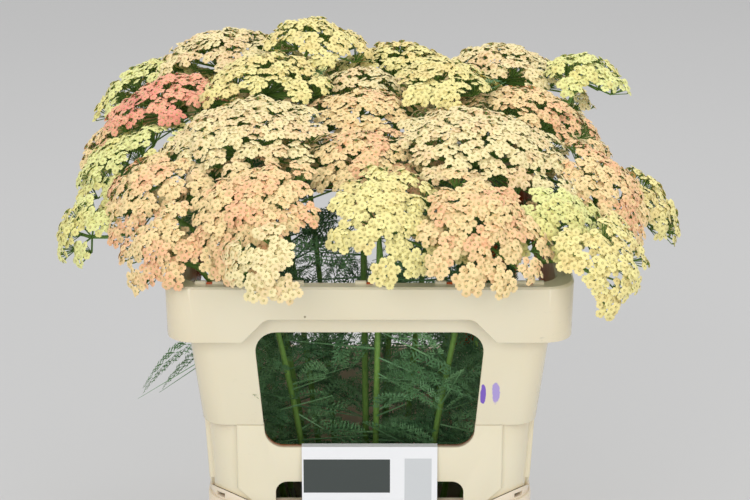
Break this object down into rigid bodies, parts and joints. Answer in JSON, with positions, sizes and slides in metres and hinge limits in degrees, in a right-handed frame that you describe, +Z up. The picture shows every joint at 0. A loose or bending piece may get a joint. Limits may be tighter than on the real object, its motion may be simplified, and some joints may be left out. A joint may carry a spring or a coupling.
{
  "type": "potted salmon beauty yarrow",
  "caption": "Cut yarrow in cream, lemon, peach and salmon pink, with feathery leaves, in a stackable cream plastic flower container with a window collar and a hanging card.",
  "frame": {"origin": "middle of the flat underside of the base tub", "axes": "+Z up, -Y towards the front with the label card, +X to the right as seen from the front"},
  "size_m": [0.4853, 0.4967, 0.5199],
  "materials": {
    "collar_plastic": "cream injection-moulded polypropylene, satin, scuffed",
    "tub_plastic": "pinker cream injection-moulded polypropylene, satin",
    "water": "clear water, smooth",
    "card": "white coated card with a plain dark panel",
    "green_stem": "living green stems and feathery leaves",
    "petal_cream": "soft matt petals",
    "petal_lemon": "soft matt petals",
    "petal_peach": "soft matt petals",
    "petal_salmon": "soft matt petals",
    "petal_green": "soft matt petals"
  },
  "bodies": {
    "root": {"collar": "collar_plastic", "head_back_left": "petal_cream", "head_back_mid": "petal_cream", "head_back_near_left": "petal_lemon", "head_back_near_right": "petal_peach", "head_back_right": "petal_cream", "head_corner_right": "petal_lemon", "head_dome_left": "petal_cream", "head_dome_mid": "petal_peach", "head_dome_right": "petal_cream", "head_far_green": "petal_green", "head_far_left": "petal_cream", "head_far_lemon": "petal_lemon", "head_far_mid": "petal_lemon", "head_far_right": "petal_cream", "head_front_dome": "petal_peach", "head_front_left": "petal_peach", "head_front_low": "petal_cream", "head_front_mid": "petal_lemon", "head_front_peach": "petal_peach", "head_front_right": "petal_green", "head_left_far": "petal_peach", "head_left_green": "petal_green", "head_left_low": "petal_green", "head_left_peach": "petal_peach", "head_lemon_left": "petal_lemon", "head_lemon_mid": "petal_lemon", "head_mid_cream": "petal_cream", "head_pink_mid": "petal_peach", "head_pink_right": "petal_peach", "head_right_low": "petal_lemon", "head_right_peach": "petal_peach", "head_salmon": "petal_salmon", "head_side_green": "petal_green", "label_card": "card", "stem_01": "green_stem", "stem_02": "green_stem", "stem_03": "green_stem", "stem_04": "green_stem", "stem_05": "green_stem", "stem_06": "green_stem", "stem_07": "green_stem", "stem_08": "green_stem", "stem_09": "green_stem", "stem_10": "green_stem", "stem_11": "green_stem", "stem_12": "green_stem", "stem_13": "green_stem", "stem_14": "green_stem", "stem_15": "green_stem", "stem_16": "green_stem", "stem_17": "green_stem", "stem_18": "green_stem", "stem_19": "green_stem", "stem_20": "green_stem", "stem_21": "green_stem", "stem_22": "green_stem", "stem_23": "green_stem", "tub": "tub_plastic", "water": "water"}
  },
  "joints": []
}
